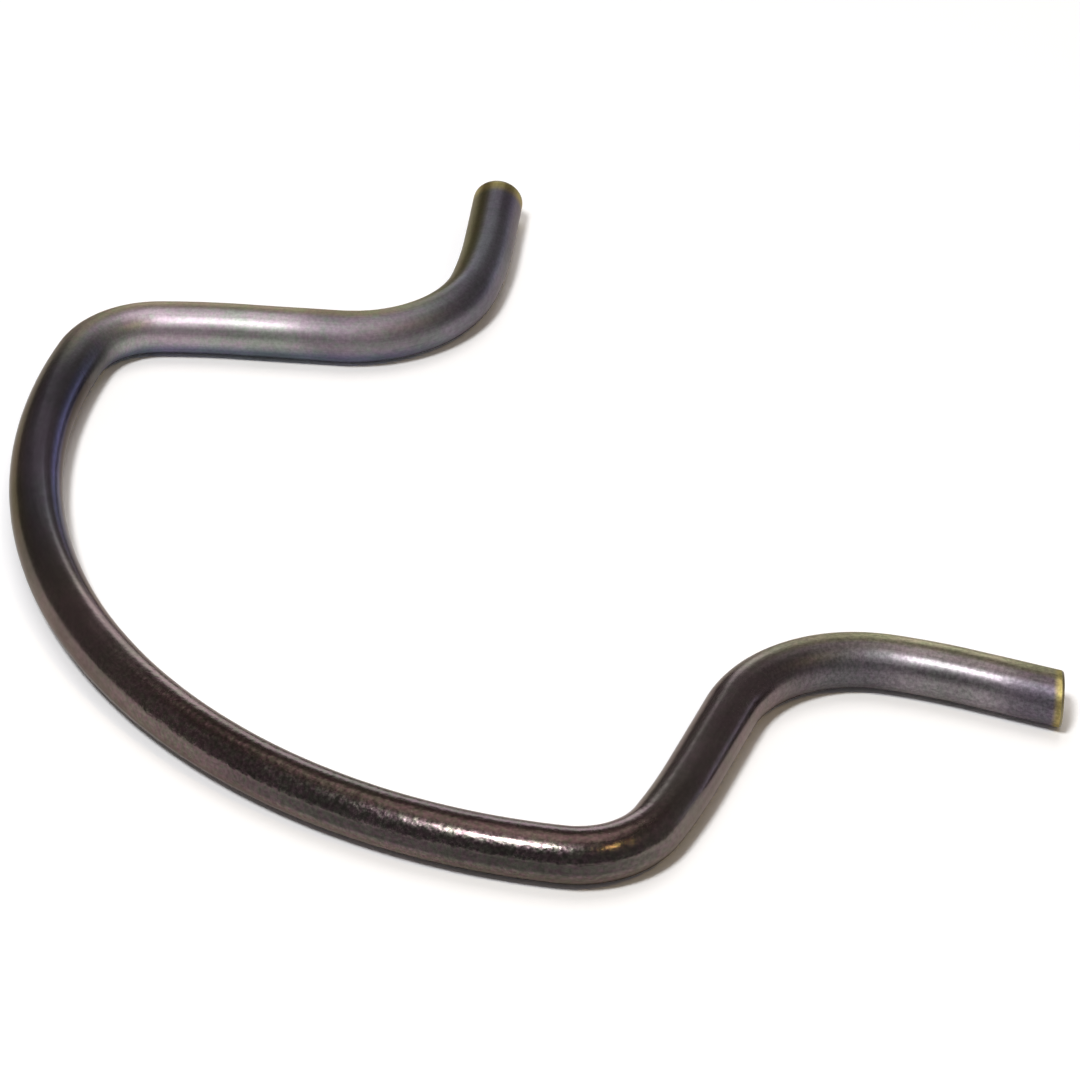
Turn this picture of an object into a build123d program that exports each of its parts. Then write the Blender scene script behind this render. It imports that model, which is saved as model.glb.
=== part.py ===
from build123d import *
from math import degrees, radians, tan
import os

# Boot retaining clip: one length of round spring wire, bent flat.
#
# A long bow springs round the collar of a rubber boot.  At each end of the bow
# a tight shoulder turns the wire inward, a short leg runs towards the middle,
# and a wider ankle turns it outward again into a straight tip, which is what
# the fingers or the pliers push apart to open the clip.
#
# Frame: the origin is on the collar's axis, in the middle plane of the wire.
# +X runs across the clip from the square-cut tip to the sheared tip, +Y runs
# from the bow towards the mouth, and +Z is square to the plane of the wire.
# All sizes are in millimetres and degrees.

# ---- driving dimensions --------------------------------------------------

wire_d = 3.0               # spring wire gauge

bow_bore_d = 64.4          # circle that the inner side of the bow lies on
bow_half_angle = 50.3      # reach of the bow each side of the middle

shoulder_r = 4.8           # centreline radius of the tight shoulder bend
shoulder_turn = 69.4       # turn of the shoulder, in the same sense as the bow

leg_ease_r = 39.0          # slack curve where the wire leaves the shoulder
leg_ease_len = 4.5         # length of that curve along the wire
leg_len = 5.9              # straight run of the leg

ankle_r = 7.6              # centreline radius of the ankle bend
ankle_turn = 79.4          # turn of the ankle, in the opposite sense

tip_ease_r = 30.3          # slack curve where the wire leaves the ankle
tip_ease_len = 4.5         # length of that curve along the wire
tip_len = 5.2              # straight run of the tip, up to its cut

square_end_round = 0.35    # rim radius on the tip that is cut square
shear_angle = 16.0         # slant of the sheared cut, off square
shear_end_round = 0.15     # rim radius left by the shear

# ---- derived sizes -------------------------------------------------------

wire_r = wire_d / 2
bow_r = bow_bore_d / 2 + wire_r
leg_ease_turn = degrees(leg_ease_len / leg_ease_r)
tip_ease_turn = degrees(tip_ease_len / tip_ease_r)
shear_reach = wire_d * tan(radians(shear_angle))

# ---- centreline ----------------------------------------------------------

with BuildLine(Plane.XY) as centreline:
    # The bow is one arc about the collar's axis, centred on -Y.
    bow = CenterArc(
        center=(0, 0),
        radius=bow_r,
        start_angle=270 - bow_half_angle,
        arc_size=2 * bow_half_angle,
    )
    # One side: shoulder, leg, ankle and tip follow each other tangentially.
    shoulder = JernArc(
        start=bow @ 1, tangent=bow % 1, radius=shoulder_r, arc_size=shoulder_turn
    )
    leg_ease = JernArc(
        start=shoulder @ 1, tangent=shoulder % 1, radius=leg_ease_r, arc_size=leg_ease_turn
    )
    leg = PolarLine(start=leg_ease @ 1, length=leg_len, direction=leg_ease % 1)
    ankle = JernArc(
        start=leg @ 1, tangent=leg % 1, radius=ankle_r, arc_size=-ankle_turn
    )
    tip_ease = JernArc(
        start=ankle @ 1, tangent=ankle % 1, radius=tip_ease_r, arc_size=-tip_ease_turn
    )
    tip = PolarLine(start=tip_ease @ 1, length=tip_len, direction=tip_ease % 1)
    # The other side is its mirror image.
    mirror([shoulder, leg_ease, leg, ankle, tip_ease, tip], about=Plane.YZ)

# ---- where the two tips end ----------------------------------------------

sheared_end = tip @ 1
sheared_dir = (tip % 1).normalized()
square_end = Vector(-sheared_end.X, sheared_end.Y, 0)
square_dir = Vector(-sheared_dir.X, sheared_dir.Y, 0)

# The sheared face leans in the plane of the wire: the edge on the side away
# from the mouth is the one that reaches further.
shear_plane = Plane(
    origin=sheared_end,
    x_dir=(0, 0, 1),
    z_dir=sheared_dir.rotate(Axis.Z, shear_angle),
)

# ---- the clip ------------------------------------------------------------

with BuildPart() as retaining_clip:
    # Round section carried along the whole centreline from the square tip.
    with BuildSketch(Plane(origin=square_end, z_dir=square_dir * -1)) as wire_section:
        Circle(radius=wire_r)
    sweep(path=centreline.wire())

    # The wire's own length overruns the slanted cut, which then trims it.
    with BuildSketch(Plane(origin=sheared_end, z_dir=sheared_dir)) as overrun:
        Circle(radius=wire_r)
    extrude(amount=shear_reach)
    with BuildSketch(shear_plane) as shear_blade:
        Circle(radius=wire_d)
    extrude(amount=wire_d, mode=Mode.SUBTRACT)

    # Both rims are broken: the square cut is tumbled, the sheared one less so.
    rims = retaining_clip.edges().filter_by(
        lambda e: e.is_closed and e.geom_type in (GeomType.CIRCLE, GeomType.ELLIPSE)
    )
    square_rim = rims.sort_by_distance(square_end)[0]
    fillet(square_rim, radius=square_end_round)
    rims = retaining_clip.edges().filter_by(
        lambda e: e.is_closed and e.geom_type in (GeomType.CIRCLE, GeomType.ELLIPSE)
    )
    sheared_rim = rims.sort_by_distance(sheared_end)[0]
    fillet(sheared_rim, radius=shear_end_round)

retaining_clip.part.label = "retaining_clip"

wire_length = centreline.wire().length
print(f"wire length {wire_length:.2f} mm, section times length "
      f"{wire_length * 3.14159265 * wire_r ** 2:.1f} mm3, volume {retaining_clip.part.volume:.1f} mm3")
print(f"box {retaining_clip.part.bounding_box()}")
print(f"solids {len(retaining_clip.part.solids())}, valid {retaining_clip.part.is_valid}")

os.makedirs("parts", exist_ok=True)
export_step(retaining_clip.part, "parts/retaining_clip.step")
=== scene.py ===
"""Boot retaining clip: one spring wire, bent flat, lying on a pale bench.

The clip is built as it is made: the wire is fed and bent from its square-cut
tip to its sheared tip, and then takes a heat-scaled, oil-tempered finish.
"""

import logging
import math
from dataclasses import dataclass
from enum import Enum

import bmesh
import bpy
from mathutils import Euler, Matrix, Vector, noise


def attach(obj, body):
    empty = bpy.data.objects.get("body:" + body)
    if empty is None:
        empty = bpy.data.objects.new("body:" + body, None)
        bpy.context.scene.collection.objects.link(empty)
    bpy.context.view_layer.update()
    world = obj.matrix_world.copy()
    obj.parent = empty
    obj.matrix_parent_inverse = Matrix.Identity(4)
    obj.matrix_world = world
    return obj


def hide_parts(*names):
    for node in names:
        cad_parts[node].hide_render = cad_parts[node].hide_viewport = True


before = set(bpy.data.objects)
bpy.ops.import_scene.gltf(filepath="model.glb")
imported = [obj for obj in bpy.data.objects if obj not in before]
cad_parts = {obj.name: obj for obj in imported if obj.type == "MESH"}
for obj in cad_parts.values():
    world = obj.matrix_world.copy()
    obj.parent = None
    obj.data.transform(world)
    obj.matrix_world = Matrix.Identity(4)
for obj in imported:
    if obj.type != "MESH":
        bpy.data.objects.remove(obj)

LOG = logging.getLogger("retaining_clip")
MM = 0.001
WIRE_SPACE = "wire_space"
WELD = 1e-7  # vertices nearer than this are one
SKIN = 1e-6  # vertices this far inside the wire are on a cut

Colour = tuple[float, float, float, float]
Limits = tuple[float, float]
Point = tuple[float, float, float]
Shapes = tuple[tuple[float, float | None], ...]
Node = bpy.types.Node
Socket = bpy.types.NodeSocket
Tree = bpy.types.NodeTree


class Turn(Enum):
    """Which way the bending pin turns the wire, seen from above."""

    LEFT = 1
    RIGHT = -1


class Surface(Enum):
    """Material index of each kind of surface on the wire."""

    DRAWN = 0
    CUT = 1


# ---- Node helpers ----


class Sheet:
    """A node tree that is filled in by short calls."""

    def __init__(self, tree: Tree) -> None:
        """Wraps the material or group tree that is filled."""
        self.tree = tree

    def add(self, kind: str, **settings: object) -> Node:
        """Adds a node and sets its properties.

        Args:
            kind: the node type, without its ShaderNode prefix.
            **settings: properties to set on the node.

        Returns:
            The new node.
        """
        node = self.tree.nodes.new("ShaderNode" + kind)
        for name, value in settings.items():
            setattr(node, name, value)
        return node

    def put(self, socket: Socket, value: object) -> None:
        """Links or sets one input socket.

        Args:
            socket: the input.
            value: another node's output, or a plain value.
        """
        if isinstance(value, Socket):
            self.tree.links.new(value, socket)
        elif value is not None:
            socket.default_value = value

    def fill(self, node: Node, **values: object) -> Node:
        """Links or sets inputs of a node.

        Args:
            node: the node.
            **values: input values by name, with _ for a space.

        Returns:
            The same node.
        """
        for name, value in values.items():
            self.put(node.inputs[name.replace("_", " ")], value)
        return node

    def operate(self, kind: str, op: str, values: tuple[object, ...]) -> Socket:
        """Adds a node that computes with its inputs.

        Args:
            kind: the node type, without its ShaderNode prefix.
            op: the operation.
            values: its inputs.

        Returns:
            The first output.
        """
        node = self.add(kind, operation=op)
        for socket, value in zip(node.inputs, values):
            self.put(socket, value)
        return node.outputs[0]

    def math(self, op: str, *values: object) -> Socket:
        """Computes with numbers."""
        return self.operate("Math", op, values)

    def times(self, first: object, *others: object) -> Socket:
        """Multiplies numbers and masks, from left to right.

        Args:
            first: first factor.
            *others: the factors after it.

        Returns:
            The product.
        """
        for other in others:
            first = self.math("MULTIPLY", first, other)
        return first

    def vector(self, op: str, *values: object) -> Socket:
        """Computes with vectors."""
        return self.operate("VectorMath", op, values)

    def scaled(self, vector: object, scale: object) -> Socket:
        """Multiplies a vector or a colour by a number."""
        node = self.fill(self.add("VectorMath", operation="SCALE"), Vector=vector, Scale=scale)
        return node.outputs[0]

    def noise(self, vector: object, scale: object, detail: object, rough: float) -> Socket:
        """Reads 3-D noise of a given frequency, number of octaves and roughness."""
        node = self.add("TexNoise", noise_dimensions="3D")
        return self.fill(node, Vector=vector, Scale=scale, Detail=detail, Roughness=rough).outputs["Fac"]

    def span(
        self, value: object, low: object, high: object, to_low: float = 0.0, to_high: float = 1.0
    ) -> Socket:
        """Adds a clamped, smooth Map Range.

        Args:
            value: the input value.
            low: where the range starts.
            high: where it ends.
            to_low: the result at the start.
            to_high: the result at the end.

        Returns:
            The mapped value.
        """
        node = self.add("MapRange", interpolation_type="SMOOTHSTEP")
        self.fill(node, Value=value, From_Min=low, From_Max=high, To_Min=to_low, To_Max=to_high)
        return node.outputs["Result"]

    def fall(self, value: object, low: object, high: object) -> Socket:
        """A span that falls from one to zero."""
        return self.span(value, low, high, 1.0, 0.0)

    def ease(self, value: Socket, target: object, mask: Socket) -> Socket:
        """Moves a value towards a target as far as a mask says."""
        return self.math("MULTIPLY_ADD", self.math("SUBTRACT", target, value), mask, value)

    def split(self, vector: object) -> tuple[Socket, ...]:
        """Splits a vector into its X, Y and Z."""
        return tuple(self.fill(self.add("SeparateXYZ"), Vector=vector).outputs)

    def bump(self, height: Socket, strength: float, distance: float) -> Socket:
        """Makes a normal from a height, whose value of one is a distance in metres."""
        return self.fill(self.add("Bump"), Height=height, Strength=strength, Distance=distance).outputs[0]

    def blend(self, fac: object, a: object, b: object, mode: str = "MIX") -> Socket:
        """Adds a colour Mix node.

        Args:
            fac: how much of b is taken.
            a: first colour.
            b: second colour.
            mode: the blend type.

        Returns:
            The mixed colour.
        """
        node = self.add("Mix", data_type="RGBA", blend_type=mode)
        colours = [s for s in node.inputs if s.type == "RGBA"]
        for socket, value in zip((node.inputs[0], *colours), (fac, a, b)):
            self.put(socket, value)
        return next(s for s in node.outputs if s.type == "RGBA")

    def group(self, tree: Tree, **values: object) -> Node:
        """Places a node group and fills its inputs."""
        return self.fill(self.add("Group", node_tree=tree), **values)


def new_group(
    name: str, inputs: dict[str, float | Colour], **outputs: str
) -> tuple[Sheet, dict[str, Socket], Node]:
    """Starts a shader node group with a Place input and other named sockets.

    Args:
        name: the group's name.
        inputs: default number or colour by input name.
        **outputs: socket kind by output name.

    Returns:
        The sheet, the group's inputs by name and its output node.
    """
    tree = bpy.data.node_groups.new(name, "ShaderNodeTree")
    tree.interface.new_socket("Place", in_out="INPUT", socket_type="NodeSocketVector")
    for label, value in inputs.items():
        kind = "Float" if isinstance(value, float) else "Color"
        made = tree.interface.new_socket(label, in_out="INPUT", socket_type="NodeSocket" + kind)
        made.default_value = value
    for label, kind in outputs.items():
        tree.interface.new_socket(label, in_out="OUTPUT", socket_type="NodeSocket" + kind)
    source = tree.nodes.new("NodeGroupInput")
    target = tree.nodes.new("NodeGroupOutput")
    return Sheet(tree), {s.name: s for s in source.outputs}, target


def new_wire_material(name: str) -> tuple[bpy.types.Material, Sheet, Node, Socket]:
    """Starts a metal that knows its place on the straight wire.

    Args:
        name: the material's name.

    Returns:
        The material, its sheet, its shader and the place in millimetres.
    """
    made = bpy.data.materials.new(name)
    made.use_nodes = True
    sheet = Sheet(made.node_tree)
    shader = made.node_tree.nodes["Principled BSDF"]
    sheet.fill(shader, Metallic=1.0)
    read = sheet.add("Attribute", attribute_name=WIRE_SPACE)
    return made, sheet, shader, sheet.scaled(read.outputs["Vector"], 1.0 / MM)


def new_object(name: str, data: bpy.types.ID) -> bpy.types.Object:
    """Makes an object and links it to the scene.

    Args:
        name: the object's name.
        data: its mesh, lamp or camera.

    Returns:
        The object.
    """
    made = bpy.data.objects.new(name, data)
    bpy.context.scene.collection.objects.link(made)
    return made


# ---- Shared effects ----


class Effects:
    """Node groups that the wire's finishes share, each built once."""

    def __init__(self) -> None:
        """Builds every group."""
        self.grain = self._grain()
        self.streaks = self._streaks()
        self.temper = self._temper()
        self.rubbing = self._rubbing()
        self.stretch = self._stretch()

    @staticmethod
    def _grain() -> Tree:
        """Fine mottled scale, left by the hardening furnace.

        Returns:
            The group tree.
        """
        sheet, given, out = new_group(
            "Scale Grain", {"Size": 0.14, "Detail": 4.0, "Contrast": 1.0}, Grain="Float", Patches="Float"
        )
        rate = sheet.math("DIVIDE", 1.0, given["Size"])
        fine = sheet.noise(given["Place"], rate, given["Detail"], 0.6)
        wide = sheet.noise(given["Place"], sheet.times(rate, 0.07), 3.0, 0.5)
        gap = sheet.times(given["Contrast"], 0.22)
        edges = sheet.math("SUBTRACT", 0.5, gap), sheet.math("ADD", 0.5, gap)
        sheet.fill(out, Grain=sheet.span(fine, *edges))
        sheet.fill(out, Patches=sheet.span(wide, 0.36, 0.66))
        return sheet.tree

    @staticmethod
    def _streaks() -> Tree:
        """Fine lines along the wire, left by the drawing die.

        Returns:
            The group tree.
        """
        sheet, given, out = new_group("Drawing Lines", {"Pitch": 0.09, "Stretch": 40.0}, Lines="Float")
        along, left, up = sheet.split(given["Place"])
        squeezed = sheet.math("DIVIDE", along, given["Stretch"])
        join = sheet.fill(sheet.add("CombineXYZ"), X=squeezed, Y=left, Z=up)
        lines = sheet.noise(join.outputs[0], sheet.math("DIVIDE", 1.0, given["Pitch"]), 3.0, 0.6)
        sheet.fill(out, Lines=sheet.span(lines, 0.32, 0.68))
        return sheet.tree

    @staticmethod
    def _temper() -> Tree:
        """Mottled temper colour, where the film's thickness wanders a little.

        Returns:
            The group tree.
        """
        sheet, given, out = new_group(
            "Temper Colour",
            {
                "Color": (0.12, 0.11, 0.10, 1.0),
                "Rosy": (1.12, 0.92, 1.10, 1.0),
                "Greenish": (0.90, 1.06, 0.93, 1.0),
                "Fine": 0.3,
                "Amount": 0.8,
            },
            Color="Color",
        )
        slow = sheet.noise(given["Place"], 0.22, 2.0, 0.5)
        quick = sheet.noise(given["Place"], 1.3, 3.0, 0.65)
        film = sheet.math("ADD", sheet.times(slow, 0.5), sheet.times(quick, 0.5))
        sparks = sheet.noise(sheet.vector("ADD", given["Place"], (31.0, 7.0, 3.0)), 3.4, 2.0, 0.6)
        film = sheet.ease(film, sparks, given["Fine"])
        tint = sheet.blend(sheet.span(film, 0.40, 0.60), given["Rosy"], given["Greenish"])
        sheet.fill(out, Color=sheet.blend(given["Amount"], given["Color"], tint, "MULTIPLY"))
        return sheet.tree

    @staticmethod
    def _rubbing() -> Tree:
        """Small places where handling has rubbed the scale to bare steel.

        Returns:
            The group tree.
        """
        sheet, given, out = new_group("Rubbed Spots", {"Size": 0.5, "Amount": 0.5}, Mask="Float")
        rate = sheet.math("DIVIDE", 1.0, given["Size"])
        spots = sheet.noise(given["Place"], rate, 4.0, 0.7)
        zones = sheet.noise(given["Place"], sheet.times(rate, 0.12), 2.0, 0.5)
        edge = sheet.math("SUBTRACT", 0.78, sheet.times(given["Amount"], 0.2))
        mask = sheet.span(spots, edge, sheet.math("ADD", edge, 0.05))
        sheet.fill(out, Mask=sheet.times(mask, sheet.span(zones, 0.45, 0.6)))
        return sheet.tree

    @staticmethod
    def _stretch() -> Tree:
        """One stretch of the wire, which fades in and out at its ends.

        Returns:
            The group tree.
        """
        sheet, given, out = new_group(
            "Wire Stretch", {"Start": 0.0, "End": 1.0, "Ease": 5.0}, Mask="Float"
        )
        along = sheet.split(given["Place"])[0]
        rise = sheet.span(along, given["Start"], sheet.math("ADD", given["Start"], given["Ease"]))
        fall = sheet.fall(along, sheet.math("SUBTRACT", given["End"], given["Ease"]), given["End"])
        sheet.fill(out, Mask=sheet.times(rise, fall))
        return sheet.tree


# ---- Finishes ----


@dataclass(frozen=True)
class Stretch:
    """A stretch of the wire, measured in millimetres from the square tip.

    Attributes:
        start: where it begins.
        end: where it ends.
        ease: how far it fades in and out.
    """

    start: float
    end: float
    ease: float

    def mask(self, sheet: Sheet, effects: Effects, place: Socket) -> Socket:
        """Places the group that is one inside this stretch and zero outside."""
        sizes = {"Start": self.start, "End": self.end, "Ease": self.ease}
        return sheet.group(effects.stretch, Place=place, **sizes).outputs[0]


@dataclass(frozen=True)
class TemperedWire:
    """Oil-tempered spring wire: dark heat scale over drawn steel.

    Heights and offsets are from the wire's centreline, in millimetres.

    Attributes:
        brown: scale over most of the wire.
        stretched: scale that the last bends have thinned.
        crusted: thicker scale in the middle of the coarse stretch, kept off its underside, which stays
            lighter as painted reflected light.
        painted_shade: near-black colour painted as shade: a dark reflection band along the waist of the
            bow, and the darkened inner edge of its first half.
        olive: scale on the outer side of the first half of the bow.
        violet: thinner scale over the first half of the bow.
        blue: thin film on its inner side.
        khaki: film on the outer side of the first tip.
        indigo: film low on the first leg.
        slate: scale that handling has thinned on the first tip and ankle.
        grey: scale that handling has thinned on the first leg.
        silver: the leg's most polished place.
        dull: greyer scale on the last tip.
        pewter: the last tip's most polished place.
        lilac: scale close to the sheared cut.
        straw: thin golden film on the back of the legs and tips.
        gold: thicker golden film at the very ends.
        tan: redder brown film along the top of the coarse stretch.
        steel: bare metal where it is rubbed.
        edge: tint of the scale seen at a grazing angle.
        smooth: roughness of the smooth scale.
        satin: roughness of the violet scale.
        coarse: roughness of the hollows of the grainy scale.
        crumbly: roughness of its grains.
        dusty: roughness of the tan film.
        brushed: roughness of the first tip.
        handled: roughness of the first leg.
        worn: roughness of the last tip.
        buffed: roughness of the leg's most polished place.
        polished: roughness of the last tip's.
        violet_part: where the violet scale lies.
        coarse_part: where the scale is grainy.
        crust_part: where the thicker scale lies.
        bend_part: where the last bends are.
        tan_part: where the tan film lies.
        first_tip: where the slate scale lies.
        first_leg: where the first leg is handled.
        leg_polish: its most polished place.
        last_tip: where the last tip is worn.
        tip_polish: its most polished place.
        last_end: where the lilac scale lies.
        first_film: where the gold film lies at the square cut.
        last_film: where it lies at the sheared cut, measured along its lean.
        shear_angle: slant of that cut, in degrees.
        middle: middle of the bow.
        crust_foot, waist_foot, olive_foot, khaki_foot, straw_foot: heights over
        which the thicker scale, the painted shade band and the films start.
        waist_top, indigo_top: heights over which the painted shade band and the film end.
        blue_side, shade_side, tan_start: offsets left over which they start.
        waist_side, olive_side, tan_end: offsets left over which they end.
        khaki_side, straw_side: offsets outward over which they start.
        tan_on_tip: how much of the tan film is left on the last tip.
    """

    brown: Colour = (0.134, 0.106, 0.096, 1.0)
    stretched: Colour = (0.168, 0.140, 0.132, 1.0)
    crusted: Colour = (0.110, 0.092, 0.087, 1.0)
    # painted shade, not scale: near-black colour for the dark reflection band on the bow's waist and for
    # the darkened inner edge of the bow
    painted_shade: Colour = (0.055, 0.047, 0.045, 1.0)
    olive: Colour = (0.095, 0.082, 0.052, 1.0)
    violet: Colour = (0.125, 0.115, 0.130, 1.0)
    blue: Colour = (0.126, 0.131, 0.200, 1.0)
    khaki: Colour = (0.135, 0.126, 0.062, 1.0)
    indigo: Colour = (0.118, 0.130, 0.176, 1.0)
    slate: Colour = (0.150, 0.144, 0.162, 1.0)
    grey: Colour = (0.228, 0.215, 0.222, 1.0)
    silver: Colour = (0.330, 0.316, 0.312, 1.0)
    dull: Colour = (0.110, 0.100, 0.110, 1.0)
    pewter: Colour = (0.185, 0.174, 0.178, 1.0)
    lilac: Colour = (0.130, 0.117, 0.142, 1.0)
    straw: Colour = (0.265, 0.244, 0.152, 1.0)
    gold: Colour = (0.340, 0.285, 0.110, 1.0)
    tan: Colour = (0.068, 0.048, 0.041, 1.0)
    steel: Colour = (0.420, 0.400, 0.380, 1.0)
    edge: Colour = (0.62, 0.58, 0.55, 1.0)
    smooth: float = 0.19
    satin: float = 0.23
    coarse: float = 0.14
    crumbly: float = 0.26
    dusty: float = 0.28
    brushed: float = 0.34
    handled: float = 0.60
    worn: float = 0.52
    buffed: float = 0.45
    polished: float = 0.37
    violet_part: Stretch = Stretch(30.0, 62.0, 10.0)
    coarse_part: Stretch = Stretch(64.0, 104.0, 9.0)
    crust_part: Stretch = Stretch(74.0, 104.0, 10.0)
    bend_part: Stretch = Stretch(97.0, 120.0, 8.0)
    tan_part: Stretch = Stretch(66.0, 106.0, 8.0)
    first_tip: Stretch = Stretch(-20.0, 24.0, 9.0)
    first_leg: Stretch = Stretch(11.0, 41.0, 8.0)
    leg_polish: Stretch = Stretch(20.5, 37.0, 3.5)
    last_tip: Stretch = Stretch(112.0, 150.0, 8.0)
    tip_polish: Stretch = Stretch(121.5, 131.0, 3.0)
    last_end: Stretch = Stretch(127.6, 150.0, 5.0)
    first_film: Stretch = Stretch(-9.0, 1.5, 0.9)
    last_film: Stretch = Stretch(131.4, 150.0, 0.4)
    shear_angle: float = 16.0
    middle: float = 66.0
    # below these heights the underside keeps the lighter brown, painted in as reflected light from the
    # bench
    crust_foot: Limits = (-0.4, -0.1)
    # heights of the waist band, a dark reflection painted in as shade
    waist_foot: Limits = (-0.25, 0.0)
    waist_top: Limits = (0.38, 0.60)
    waist_side: Limits = (-1.2, -0.8)
    blue_side: Limits = (0.7, 1.05)
    # painted shade: offsets to the left over which the bow's inner edge is painted near black, dimming the
    # bench's reflection there
    shade_side: Limits = (1.20, 1.42)
    olive_side: Limits = (-1.2, -0.3)
    olive_foot: Limits = (-0.9, -0.2)
    khaki_side: Limits = (0.1, 0.8)
    khaki_foot: Limits = (-0.7, 0.1)
    indigo_top: Limits = (-0.75, 0.15)
    straw_side: Limits = (-0.40, 0.15)
    straw_foot: Limits = (-0.2, 0.6)
    tan_start: Limits = (-1.0, -0.55)
    tan_end: Limits = (-0.05, 0.30)
    tan_on_tip: float = 0.55

    def _top(self, sheet: Sheet, place: Socket, masks: dict[str, Socket]) -> Socket:
        """Masks the tan film along the top of the near bow and of the last tip.

        Args:
            sheet: the material's tree.
            place: place on the straight wire, in millimetres.
            masks: the stretches' masks by name.

        Returns:
            The mask.
        """
        left = sheet.split(place)[1]
        part = sheet.math("MAXIMUM", masks["tan_part"], sheet.times(masks["last_tip"], self.tan_on_tip))
        return sheet.times(part, sheet.span(left, *self.tan_start), sheet.fall(left, *self.tan_end))

    def _base(self, sheet: Sheet, effects: Effects, place: Socket, masks: dict[str, Socket]) -> Socket:
        """Lays the scale's colours along and round the wire, with painted shade and painted reflected
        light on the bow.

        Args:
            sheet: the material's tree.
            effects: the shared node groups.
            place: place on the straight wire, in millimetres.
            masks: the stretches' masks by name.

        Returns:
            The colour before grain.
        """
        along, left, up = sheet.split(place)
        turned = sheet.span(along, self.middle - 1.0, self.middle + 1.0, -1.0, 1.0)
        side = sheet.times(left, turned)
        crust, bow, leg = masks["crust_part"], masks["violet_part"], masks["first_leg"]
        # painted shade: a dark band along the outer waist of the coarse stretch, standing in for a dark
        # reflection
        waist = sheet.times(sheet.fall(up, *self.waist_top), sheet.span(up, *self.waist_foot))
        waist = sheet.times(waist, sheet.fall(left, *self.waist_side))
        olive = (sheet.fall(left, *self.olive_side), sheet.span(up, *self.olive_foot))
        khaki = (sheet.span(side, *self.khaki_side), sheet.span(up, *self.khaki_foot))
        straw = (sheet.span(side, *self.straw_side), sheet.span(up, *self.straw_foot))
        laid_colours = (
            # the thicker scale stops short of the underside, which is painted lighter as reflected bench
            # light
            (sheet.times(crust, sheet.span(up, *self.crust_foot)), self.crusted),
            # painted shade band along the waist
            (sheet.times(waist, crust), self.painted_shade),
            (masks["bend_part"], self.stretched),
            (bow, self.violet),
            (sheet.times(bow, sheet.span(left, *self.blue_side)), self.blue),
            # painted shade on the inner edge of the bow's first half
            (sheet.times(bow, sheet.span(left, *self.shade_side)), self.painted_shade),
            (sheet.times(bow, sheet.times(*olive)), self.olive),
            (masks["first_tip"], self.slate),
            (leg, self.grey),
            (masks["leg_polish"], self.silver),
            (masks["last_tip"], self.dull),
            (masks["tip_polish"], self.pewter),
            (masks["last_end"], self.lilac),
            (masks["top"], self.tan),
            (sheet.times(masks["first_tip"], sheet.times(*khaki)), self.khaki),
            (sheet.times(leg, sheet.fall(up, *self.indigo_top)), self.indigo),
            (sheet.times(sheet.math("MAXIMUM", leg, masks["last_tip"]), sheet.times(*straw)), self.straw),
            (masks["first_film"], self.gold),
        )
        tone: object = self.brown
        for mask, laid_colour in laid_colours:
            tone = sheet.blend(mask, tone, laid_colour)
        slant = math.tan(math.radians(self.shear_angle))
        lean = sheet.fill(sheet.add("CombineXYZ"), X=sheet.times(left, slant))
        leaning = sheet.vector("ADD", place, lean.outputs[0])
        return sheet.blend(self.last_film.mask(sheet, effects, leaning), tone, self.gold)

    def material(self, effects: Effects) -> bpy.types.Material:
        """Makes the material.

        Args:
            effects: the shared node groups.

        Returns:
            The finished material.
        """
        made, sheet, shader, place = new_wire_material("tempered_spring_wire")
        grain = sheet.group(effects.grain, Place=place, Size=0.20, Detail=3.0, Contrast=1.0)
        crust = sheet.group(effects.grain, Place=place, Size=0.38, Detail=1.0, Contrast=1.5)
        lines = sheet.group(effects.streaks, Place=place, Pitch=0.10, Stretch=40.0)
        rubbed = sheet.group(effects.rubbing, Place=place, Size=0.30, Amount=0.45)
        names = (
            "violet_part", "coarse_part", "crust_part", "bend_part", "tan_part", "first_tip",
            "first_leg", "leg_polish", "last_tip", "tip_polish", "last_end", "first_film",
        )
        masks = {name: getattr(self, name).mask(sheet, effects, place) for name in names}
        masks["top"] = self._top(sheet, place, masks)
        coarse = masks["coarse_part"]
        lively = sheet.math("MAXIMUM", coarse, masks["first_leg"])
        mottled = sheet.math("MAXIMUM", coarse, masks["last_tip"])

        colour = sheet.group(
            effects.temper, Place=place, Color=self._base(sheet, effects, place, masks),
            Fine=sheet.math("MULTIPLY_ADD", coarse, 0.45, 0.2),
            Amount=sheet.math("MULTIPLY_ADD", lively, 0.45, 0.4),
        )
        spread = sheet.math("MULTIPLY_ADD", mottled, 0.28, 0.26)
        tone = sheet.math("MULTIPLY_ADD", sheet.math("SUBTRACT", grain.outputs["Grain"], 0.5), spread, 1.0)
        streaked = sheet.math("MULTIPLY_ADD", lines.outputs["Lines"], 0.12, 0.94)
        patched = sheet.math("MULTIPLY_ADD", crust.outputs["Patches"], 0.24, 0.88)
        shade = sheet.scaled(colour.outputs["Color"], sheet.times(tone, streaked, patched))
        bare = sheet.times(rubbed.outputs["Mask"], coarse)
        sheet.fill(shader, Base_Color=sheet.blend(bare, shade, self.steel))
        sheet.fill(shader, Specular_Tint=self.edge)

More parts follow.
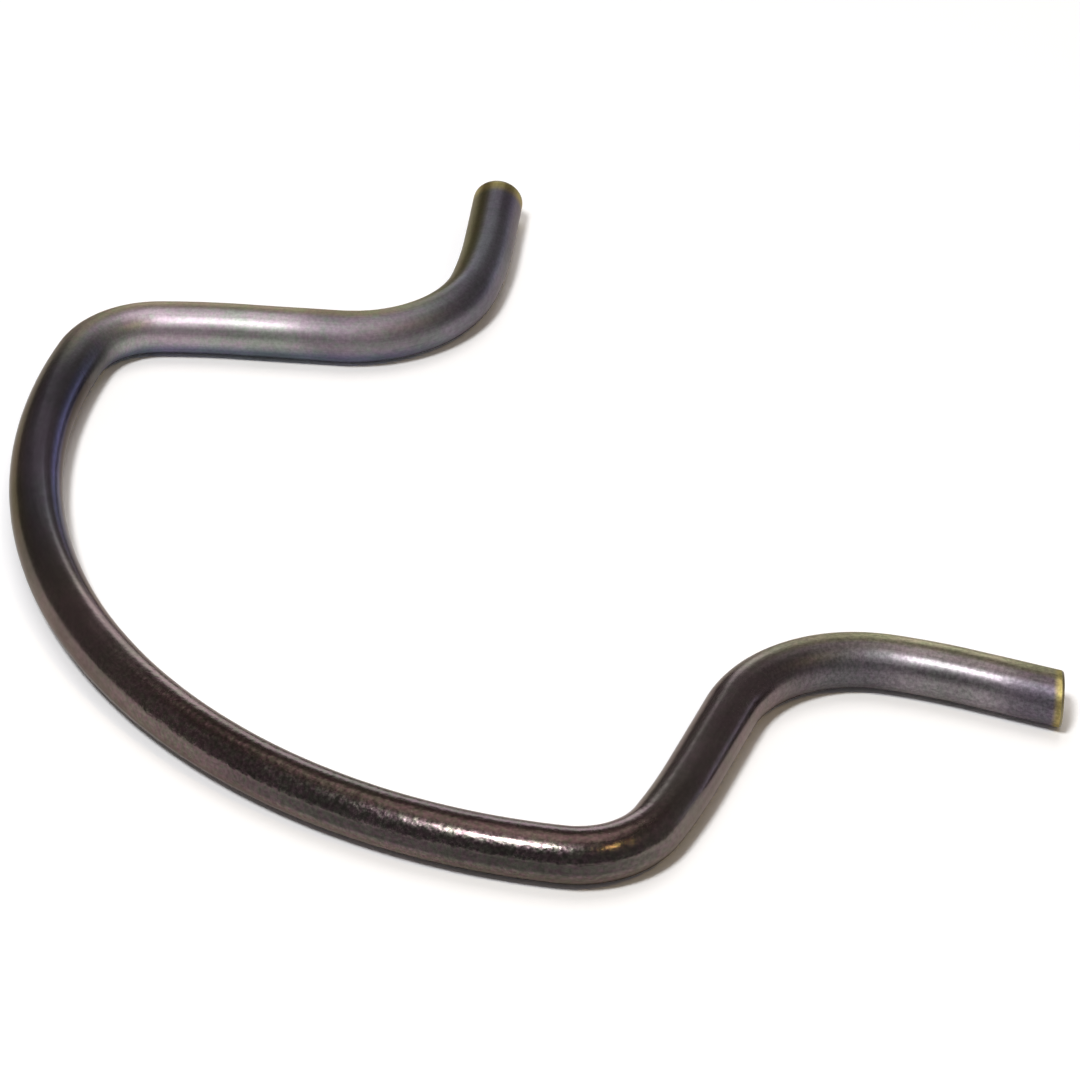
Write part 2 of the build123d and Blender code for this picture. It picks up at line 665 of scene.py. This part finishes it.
        rough = sheet.math("MULTIPLY_ADD", grain.outputs["Grain"], self.crumbly - self.coarse, self.coarse)
        rough = sheet.math("MULTIPLY_ADD", sheet.math("SUBTRACT", rough, self.smooth), coarse, self.smooth)
        rough = sheet.math("MULTIPLY_ADD", grain.outputs["Patches"], 0.05, rough)
        levels = (
            ("violet_part", self.satin), ("first_tip", self.brushed), ("first_leg", self.handled),
            ("leg_polish", self.buffed), ("last_tip", self.worn), ("tip_polish", self.polished),
            ("last_end", self.worn), ("top", self.dusty),
        )
        for name, level in levels:
            rough = sheet.ease(rough, level, masks[name])
        sheet.fill(shader, Roughness=rough)

        height = sheet.times(crust.outputs["Grain"], sheet.math("MULTIPLY_ADD", coarse, 0.85, 0.15))
        for relief, share in ((grain.outputs["Grain"], 0.06), (lines.outputs["Lines"], 0.05)):
            height = sheet.math("ADD", height, sheet.times(relief, share))
        sheet.fill(shader, Normal=sheet.bump(height, 1.0, 0.009 * MM))
        return made


@dataclass(frozen=True)
class CutSteel:
    """Bare steel of a cut end, dulled by a thin straw film.

    Attributes:
        steel: colour of the clean metal.
        film: colour of the film that has crept over it.
        roughness: how dull the torn face is.
    """

    steel: Colour = (0.240, 0.208, 0.118, 1.0)
    film: Colour = (0.150, 0.122, 0.056, 1.0)
    roughness: float = 0.38

    def material(self, effects: Effects) -> bpy.types.Material:
        """Makes the material.

        Args:
            effects: the shared node groups.

        Returns:
            The finished material.
        """
        made, sheet, shader, place = new_wire_material("cut_steel")
        grain = sheet.group(effects.grain, Place=place, Size=0.20, Detail=4.0, Contrast=1.3)
        sheet.fill(shader, Base_Color=sheet.blend(grain.outputs["Patches"], self.steel, self.film))
        rough = sheet.math("ADD", self.roughness, sheet.times(grain.outputs["Grain"], 0.15))
        sheet.fill(shader, Roughness=rough)
        sheet.fill(shader, Normal=sheet.bump(grain.outputs["Grain"], 0.6, 0.02 * MM))
        return made


# ---- The wire ----


class WireFormer:
    """Feeds and bends a round section the way a wire-forming machine does.

    Each vertex also keeps its place on the straight wire before bending, as
    (distance along, offset to the left, offset upward), for the finishes.
    """

    def __init__(self, start: Vector, heading: float, radius: float, sides: int, step: float) -> None:
        """Sets the machine at the wire's first end.

        Args:
            start: centre of the first end.
            heading: direction of travel in the plane, in radians from +X.
            radius: radius of the wire.
            sides: facets round the section.
            step: longest feed between two rings.
        """
        self.bm = bmesh.new()
        self.layer = self.bm.verts.layers.float_vector.new(WIRE_SPACE)
        self.centre = start.copy()
        self.heading = heading
        self.radius = radius
        self.sides = sides
        self.step = step
        self.along = 0.0
        self.rim: list[bmesh.types.BMEdge] = []

    @property
    def forward(self) -> Vector:
        """The direction of travel."""
        return Vector((math.cos(self.heading), math.sin(self.heading), 0.0))

    @property
    def left(self) -> Vector:
        """The direction to the left of travel."""
        return Vector((-math.sin(self.heading), math.cos(self.heading), 0.0))

    def _rim_verts(self) -> list[bmesh.types.BMVert]:
        """The vertices of the newest ring."""
        return list({v for e in self.rim for v in e.verts})

    def _note(self) -> None:
        """Writes the newest ring's place on the straight wire."""
        for v in self._rim_verts():
            off = v.co - self.centre
            v[self.layer] = Vector((self.along + off.dot(self.forward), off.dot(self.left), off.z))

    def _ring(self, made: dict, surface: Surface) -> None:
        """Takes the newest ring from an operator's result.

        Args:
            made: what the operator returned.
            surface: the surface that the new faces belong to.
        """
        geom = made.get("geom_last") or made["geom"]
        verts = {g for g in geom if isinstance(g, bmesh.types.BMVert)}
        self.rim = [g for g in geom if isinstance(g, bmesh.types.BMEdge) and set(g.verts) <= verts]
        for e in self.rim:
            for f in e.link_faces:
                f.material_index = surface.value

    def open_end(self, core: float) -> None:
        """Starts with a small disc in the middle of the first end.

        Args:
            core: radius of the disc.
        """
        turn = Matrix.Rotation(self.heading, 4, "Z") @ Matrix.Rotation(math.pi / 2, 4, "Y")
        made = bmesh.ops.create_circle(
            self.bm, cap_ends=True, cap_tris=False, radius=core, segments=self.sides,
            matrix=Matrix.Translation(self.centre) @ turn,
        )
        verts = set(made["verts"])
        self.rim = [e for e in self.bm.edges if set(e.verts) <= verts]
        for f in self.bm.faces:
            f.material_index = Surface.CUT.value
        self._note()

    def swell(self, radius: float, advance: float, surface: Surface, slant: float = 0.0) -> None:
        """Adds a ring of another radius, for a face or a broken edge.

        Args:
            radius: radius of the new ring.
            advance: distance fed before the ring.
            surface: the surface that the new faces belong to.
            slant: tangent of the ring's lean, reaching further on the right.
        """
        self._ring(bmesh.ops.extrude_edge_only(self.bm, edges=self.rim), surface)
        self.centre += self.forward * advance
        self.along += advance
        for v in self._rim_verts():
            off = v.co - self.centre
            side, up = off.dot(self.left), off.z
            scale = radius / math.hypot(side, up)
            side, up = side * scale, up * scale
            v.co = self.centre + self.left * side + Vector((0, 0, up)) - self.forward * (slant * side)
        self._note()

    def feed(self, length: float) -> None:
        """Feeds the wire straight on.

        Args:
            length: length of the straight run.
        """
        count = max(1, round(length / self.step))
        for _ in range(count):
            self._ring(bmesh.ops.extrude_edge_only(self.bm, edges=self.rim), Surface.DRAWN)
            move = self.forward * (length / count)
            bmesh.ops.translate(self.bm, verts=self._rim_verts(), vec=move)
            self.centre += move
            self.along += length / count
            self._note()

    def bend(self, radius: float, degrees: float, turn: Turn) -> None:
        """Bends the wire round a pin.

        Args:
            radius: radius of the bend at the wire's centreline.
            degrees: how far it turns.
            turn: which way it turns.
        """
        angle = math.radians(degrees)
        count = max(2, round(radius * angle / self.step))
        pin = self.centre + self.left * (radius * turn.value)
        part = angle / count * turn.value
        for _ in range(count):
            made = bmesh.ops.spin(
                self.bm, geom=self.rim + self._rim_verts(), cent=pin, axis=(0, 0, 1), dvec=(0, 0, 0),
                angle=part, steps=1, use_merge=False, use_normal_flip=False, use_duplicate=False,
            )
            self._ring(made, Surface.DRAWN)
            self.centre = pin + Matrix.Rotation(part, 3, "Z") @ (self.centre - pin)
            self.heading += part
            self.along += radius * abs(part)
            self._note()

    def close_end(self) -> None:
        """Fills the last small ring and turns every face outward."""
        made = bmesh.ops.contextual_create(self.bm, geom=self.rim)
        for f in made["faces"]:
            f.material_index = Surface.CUT.value
        bmesh.ops.remove_doubles(self.bm, verts=self.bm.verts, dist=WELD)
        bmesh.ops.recalc_face_normals(self.bm, faces=self.bm.faces)


@dataclass(frozen=True)
class Nick:
    """A shallow dent from handling.

    Attributes:
        along: distance from the square tip, in metres.
        around: angle round the wire from its left side, upward, in degrees.
        width: half width of the dent, in metres.
        depth: depth of the dent, in metres.
    """

    along: float
    around: float
    width: float
    depth: float


@dataclass
class ClipWire:
    """The whole clip: bow, shoulders, legs, ankles and tips.

    Attributes:
        wire_d: gauge of the wire.
        bow_bore_d: circle on which the bow's inner side lies.
        bow_half_angle: reach of the bow each side, in degrees.
        shoulder_r: centreline radius of the shoulder bend.
        shoulder_turn: turn of the shoulder, in degrees.
        leg_ease_r: radius of the slack curve after the shoulder.
        leg_ease_len: length of that curve.
        leg_len: straight run of the leg.
        ankle_r: centreline radius of the ankle bend.
        ankle_turn: turn of the ankle, in degrees.
        tip_ease_r: radius of the slack curve after the ankle.
        tip_ease_len: length of that curve.
        tip_len: straight run of the tip.
        square_round: rim radius of the square cut.
        shear_angle: slant of the sheared cut, in degrees.
        shear_round: rim radius of the sheared cut.
        sides: facets round the wire.
        step: longest feed between two rings.
        shear_lead: wire left for the sheared end, up to its middle.
        core: flat middle of a cut, as a share of the wire's radius.
        rings: rings on a cut, as shares of its flat face.
        square_steps: rings round the square cut's rim.
        shear_steps: rings round the sheared cut's rim.
        wave: height of the slow waviness of the drawn surface.
        wave_rate: its frequency, per millimetre.
        ripple: height of the quicker waviness.
        ripple_rate: its frequency, per millimetre.
        nick_reach: how far a dent reaches, in its half widths.
        nicks: dents along the wire.
    """

    wire_d: float = 3.0 * MM
    bow_bore_d: float = 64.4 * MM
    bow_half_angle: float = 50.3
    shoulder_r: float = 4.8 * MM
    shoulder_turn: float = 69.4
    leg_ease_r: float = 39.0 * MM
    leg_ease_len: float = 4.5 * MM
    leg_len: float = 5.9 * MM
    ankle_r: float = 7.6 * MM
    ankle_turn: float = 79.4
    tip_ease_r: float = 30.3 * MM
    tip_ease_len: float = 4.5 * MM
    tip_len: float = 5.2 * MM
    square_round: float = 0.35 * MM
    shear_angle: float = 16.0
    shear_round: float = 0.15 * MM
    sides: int = 64
    step: float = 0.22 * MM
    quick_step: float = 2.5
    shear_lead: float = 0.7 * MM
    core: float = 0.04
    rings: tuple[float, ...] = (0.3, 0.6, 0.85)
    square_steps: int = 6
    shear_steps: int = 4
    wave: float = 0.008 * MM
    wave_rate: float = 0.45
    ripple: float = 0.003 * MM
    ripple_rate: float = 1.6
    nick_reach: float = 3.0
    nicks: tuple[Nick, ...] = (
        Nick(98.5 * MM, 135.0, 0.22 * MM, 0.030 * MM),
        Nick(97.0 * MM, 121.0, 0.18 * MM, 0.020 * MM),
        Nick(99.4 * MM, 165.0, 0.25 * MM, 0.020 * MM),
        Nick(89.6 * MM, 177.0, 0.45 * MM, 0.035 * MM),
        Nick(91.6 * MM, 178.0, 0.40 * MM, 0.030 * MM),
        Nick(80.0 * MM, 125.0, 0.35 * MM, 0.025 * MM),
        Nick(84.5 * MM, 118.0, 0.30 * MM, 0.020 * MM),
    )

    @property
    def wire_r(self) -> float:
        """Radius of the wire."""
        return self.wire_d / 2

    @property
    def bow_r(self) -> float:
        """Centreline radius of the bow."""
        return self.bow_bore_d / 2 + self.wire_r

    @property
    def leg_ease_turn(self) -> float:
        """Turn of the slack curve after the shoulder, in degrees."""
        return math.degrees(self.leg_ease_len / self.leg_ease_r)

    @property
    def tip_ease_turn(self) -> float:
        """Turn of the slack curve after the ankle, in degrees."""
        return math.degrees(self.tip_ease_len / self.tip_ease_r)

    def _side(self) -> Shapes:
        """Lists one side's shapes, from the bow to the start of the tip.

        Returns:
            Radius and turn in degrees of each bend, to the left when above
            zero, or length and None of a straight run.
        """
        return (
            (self.shoulder_r, self.shoulder_turn),
            (self.leg_ease_r, self.leg_ease_turn),
            (self.leg_len, None),
            (self.ankle_r, -self.ankle_turn),
            (self.tip_ease_r, -self.tip_ease_turn),
        )

    def _tip_end(self) -> tuple[Vector, float]:
        """Walks one side of the clip from the bow's middle to its tip.

        Returns:
            The centre of the tip's end and the heading there.
        """
        at, heading = Vector((0.0, -self.bow_r, 0.0)), 0.0
        for size, degrees in ((self.bow_r, self.bow_half_angle), *self._side(), (self.tip_len, None)):
            if degrees is None:
                at = at + size * Vector((math.cos(heading), math.sin(heading), 0.0))
                continue
            part = math.radians(degrees)
            side = math.copysign(size, part)
            pin = at + side * Vector((-math.sin(heading), math.cos(heading), 0.0))
            at = pin + Matrix.Rotation(part, 3, "Z") @ (at - pin)
            heading += part
        return at, heading

    def _square_cut(self, former: WireFormer) -> None:
        """Starts the wire with its square-cut face and tumbled rim.

        Args:
            former: the machine, standing at the first end.
        """
        former.open_end(self.wire_r * self.core)
        flat = self.wire_r - self.square_round
        for share in (*self.rings, 1.0):
            former.swell(flat * share, 0.0, Surface.CUT)
        for k in range(1, self.square_steps + 1):
            a, b = (math.pi / 2 * j / self.square_steps for j in (k - 1, k))
            advance = self.square_round * (math.cos(a) - math.cos(b))
            former.swell(flat + self.square_round * math.sin(b), advance, Surface.CUT)

    @staticmethod
    def _run(former: WireFormer, shapes: Shapes) -> None:
        """Feeds and bends the wire through a list of shapes.

        Args:
            former: the machine.
            shapes: the shapes, as _side lists them.
        """
        for size, degrees in shapes:
            if degrees is None:
                former.feed(size)
            else:
                former.bend(size, abs(degrees), Turn.LEFT if degrees > 0 else Turn.RIGHT)

    def _sheared_cut(self, former: WireFormer) -> None:
        """Ends the wire with its slanted, sheared face.

        Args:
            former: the machine, standing before the last end.
        """
        slant = math.tan(math.radians(self.shear_angle))
        former.swell(self.wire_r, self.shear_lead - self.shear_round, Surface.DRAWN, slant)
        flat = self.wire_r - self.shear_round
        for k in range(1, self.shear_steps + 1):
            a, b = (math.pi / 2 * j / self.shear_steps for j in (k - 1, k))
            advance = self.shear_round * (math.sin(b) - math.sin(a))
            former.swell(flat + self.shear_round * math.cos(b), advance, Surface.CUT, slant)
        for share in (*self.rings[::-1], self.core):
            former.swell(flat * share, 0.0, Surface.CUT, slant)
        former.close_end()

    def _handle(self, former: WireFormer) -> None:
        """Gives the drawn surface its slight waviness and its dents.

        Args:
            former: the machine that holds the finished wire.
        """
        bm, layer = former.bm, former.layer
        bm.normal_update()
        for v in bm.verts:
            s, left, up = v[layer]
            if math.hypot(left, up) < self.wire_r - SKIN:
                continue
            spot = Vector((s, left, up)) / MM
            lift = self.wave * noise.noise(spot * self.wave_rate)
            lift += self.ripple * noise.noise(spot * self.ripple_rate)
            angle = math.atan2(up, left)
            for nick in self.nicks:
                across = (angle - math.radians(nick.around) + math.pi) % (2 * math.pi) - math.pi
                far = math.hypot(s - nick.along, across * self.wire_r) / nick.width
                if far < self.nick_reach:
                    lift -= nick.depth * math.exp(-far * far)
            v.co += v.normal * lift

    def build(self) -> bpy.types.Object:
        """Forms the wire from its square tip to its sheared tip.

        Returns:
            The wire's object.
        """
        end, heading = self._tip_end()
        step = self.step * 1.0
        former = WireFormer(Vector((-end.x, end.y, 0.0)), -heading, self.wire_r, self.sides, step)
        side = self._side()
        self._square_cut(former)
        former.feed(self.tip_len - self.square_round)
        self._run(former, side[::-1])
        former.bend(self.bow_r, 2 * self.bow_half_angle, Turn.LEFT)
        self._run(former, side)
        former.feed(self.tip_len - self.shear_lead)
        self._sheared_cut(former)
        self._handle(former)
        drift = (former.centre - end).length
        sizes = len(former.bm.faces), former.along / MM, drift / MM
        LOG.info("wire formed, %d faces, %.1f mm long, %.4f mm from its end", *sizes)
        mesh = bpy.data.meshes.new("retaining_clip_wire")
        former.bm.to_mesh(mesh)
        former.bm.free()
        mesh.shade_smooth()
        return new_object("retaining_clip_wire", mesh)

    def dress(self, wire: bpy.types.Object, effects: Effects) -> None:
        """Gives the wire its finishes and its place in the frame.

        Args:
            wire: the wire's object.
            effects: the shared node groups.
        """
        wire.data.materials.append(TemperedWire().material(effects))
        wire.data.materials.append(CutSteel().material(effects))
        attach(wire, "root")
        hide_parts("retaining_clip")
        LOG.info("dressed %s", wire.name)


# ---- Bench, lamps and camera ----


@dataclass(frozen=True)
class Lamp:
    """A soft lamp aimed at the clip.

    Attributes:
        name: the lamp's name.
        azimuth: direction it stands in, in degrees from +X towards +Y.
        elevation: height above the bench, in degrees.
        distance: how far away it stands, in metres.
        size: side of its square face, in metres.
        power: its power in watts.
        colour: colour of its light.
        aim: the point it is aimed at.
    """

    name: str
    azimuth: float
    elevation: float
    distance: float
    size: float
    power: float
    colour: Point
    aim: Point = (0.0, -0.012, 0.0)

    def hang(self) -> None:
        """Makes the lamp."""
        data = bpy.data.lights.new(self.name, "AREA")
        data.shape, data.size = "SQUARE", self.size
        data.energy, data.color = self.power, self.colour
        made = new_object(self.name, data)
        a, e = math.radians(self.azimuth), math.radians(self.elevation)
        away = Vector((math.cos(a) * math.cos(e), math.sin(a) * math.cos(e), math.sin(e)))
        made.location = away * self.distance + Vector(self.aim)
        made.rotation_mode = "QUATERNION"
        made.rotation_quaternion = away.to_track_quat("Z", "Y")


@dataclass
class Bench:
    """The pale bench the clip lies on, with its lamps and the camera.

    Attributes:
        top: height of the bench.
        reach: half its side.
        pale: colour of the bench.
        seen: its colour as the camera and mirrors see it.
        walls: light from the ceiling and the walls.
        room: light from the camera's side of the room.
        daylight: cool light from low behind the bench.
        daylight_side: its direction, in degrees from +X towards +Y.
        window: bright window behind the bench.
        window_side: its direction.
        room_spread: cosines over which the room turns to walls.
        daylight_spread: cosines over which the daylight starts.
        daylight_top: heights over which it ends.
        window_spread: cosines on the level over which the window starts.
        window_foot: heights over which it starts.
        window_top: heights over which it ends.
        camera_at: where the camera stands.
        camera_turn: how it is turned, in degrees about X, Y and Z.
        lens: its focal length, in millimetres.
        lamps: the lamps.
    """

    top: float = -1.5 * MM
    reach: float = 4.0
    pale: Colour = (0.86, 0.86, 0.87, 1.0)
    seen: Colour = (1.08, 1.08, 1.08, 1.0)
    walls: Colour = (0.205, 0.186, 0.188, 1.0)
    room: Colour = (0.190, 0.180, 0.186, 1.0)
    daylight: Colour = (0.92, 0.93, 1.22, 1.0)
    daylight_side: float = 106.0
    window: Colour = (2.80, 2.95, 3.15, 1.0)
    window_side: float = 146.0
    room_spread: Limits = (-0.6, 0.0)
    daylight_spread: Limits = (0.80, 0.95)
    daylight_top: Limits = (0.03, 0.24)
    window_spread: Limits = (0.965, 0.987)
    window_foot: Limits = (0.04, 0.12)
    window_top: Limits = (0.38, 0.48)
    camera_at: Point = (0.192079, -0.133714, 0.166498)
    camera_turn: Point = (53.782, -1.739, 57.749)
    lens: float = 170.28
    lamps: tuple[Lamp, ...] = (
        Lamp("overhead_lamp", -62.0, 63.0, 0.60, 0.11, 2.2, (0.98, 0.99, 1.0)),
        Lamp("ceiling_panel", 150.0, 74.0, 0.60, 0.35, 0.9, (1.0, 0.98, 0.97)),
        Lamp("warm_lamp", 14.0, 54.0, 0.60, 0.06, 0.24, (1.0, 0.72, 0.26)),
    )

    @staticmethod
    def _seen(sheet: Sheet) -> Socket:
        """One for rays from the camera, a mirror or a glass, else zero.

        Args:
            sheet: the material's or world's tree.

        Returns:
            The mask.
        """
        path = sheet.add("LightPath")
        seen = sheet.math("MAXIMUM", path.outputs["Is Camera Ray"], path.outputs["Is Glossy Ray"])
        return sheet.math("MAXIMUM", seen, path.outputs["Is Transmission Ray"])

    def floor(self) -> None:
        """Makes the bench top."""
        bm = bmesh.new()
        level = Matrix.Translation((0, 0, self.top))
        bmesh.ops.create_grid(bm, x_segments=1, y_segments=1, size=self.reach, matrix=level)
        mesh = bpy.data.meshes.new("bench_top")
        bm.to_mesh(mesh)
        bm.free()
        made = new_object("bench_top", mesh)
        mat = bpy.data.materials.new("bench_paper")
        mat.use_nodes = True
        mat.node_tree.nodes.clear()
        sheet = Sheet(mat.node_tree)
        paper = sheet.add("BsdfDiffuse")
        sheet.fill(paper, Color=sheet.blend(self._seen(sheet), self.pale, self.seen))
        sheet.fill(sheet.add("OutputMaterial"), Surface=paper.outputs[0])
        mesh.materials.append(mat)

    def world(self) -> None:
        """Sets the light of the room round the bench."""
        made = bpy.data.worlds.new("room")
        made.use_nodes = True
        bpy.context.scene.world = made
        sheet = Sheet(made.node_tree)
        made.node_tree.nodes.clear()
        toward = sheet.add("TexCoord").outputs["Generated"]
        level = sheet.vector("NORMALIZE", sheet.vector("MULTIPLY", toward, (1.0, 1.0, 0.0)))
        up = sheet.split(toward)[2]

        def facing(direction: Socket, degrees: float) -> Socket:
            """How nearly a direction faces one side.

            Args:
                direction: the direction.
                degrees: that side, in degrees from +X towards +Y.

            Returns:
                The cosine of the angle between them.
            """
            side = math.radians(degrees)
            level_side = (math.cos(side), math.sin(side), 0.0)
            return sheet.vector("DOT_PRODUCT", direction, level_side).node.outputs["Value"]

        wall = sheet.span(facing(toward, self.window_side), *self.room_spread)
        light = sheet.blend(wall, self.room, self.walls)
        low = sheet.span(facing(toward, self.daylight_side), *self.daylight_spread)
        light = sheet.blend(sheet.times(low, sheet.fall(up, *self.daylight_top)), light, self.daylight)
        across = sheet.span(facing(level, self.window_side), *self.window_spread)
        pane = sheet.times(sheet.span(up, *self.window_foot), sheet.fall(up, *self.window_top), across)
        light = sheet.blend(pane, light, self.window)
        glow = sheet.fill(sheet.add("Background"), Color=light, Strength=1.0)
        sheet.fill(sheet.add("OutputWorld"), Surface=glow.outputs[0])

    def camera(self) -> None:
        """Makes the camera and sets it as the scene's."""
        data = bpy.data.cameras.new("view")
        data.sensor_width = 36.0
        data.lens = self.lens
        data.clip_start = 0.01
        made = new_object("view", data)
        made.location = self.camera_at
        made.rotation_euler = Euler([math.radians(t) for t in self.camera_turn], "XYZ")
        bpy.context.scene.camera = made

    def set_out(self) -> None:
        """Makes the bench, the lamps, the room and the camera."""
        self.camera()
        self.floor()
        self.world()
        for lamp in self.lamps:
            lamp.hang()
        bpy.context.scene.view_settings.view_transform = "Standard"
        LOG.info("bench set with %d lamps", len(self.lamps))


def main() -> None:
    """Builds the clip and its bench."""
    logging.basicConfig(level=logging.INFO, format="%(name)s: %(message)s")
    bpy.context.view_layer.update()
    Bench().set_out()
    effects = Effects()
    clip = ClipWire()
    wire = clip.build()
    clip.dress(wire, effects)


if __name__ == "__main__":
    main()
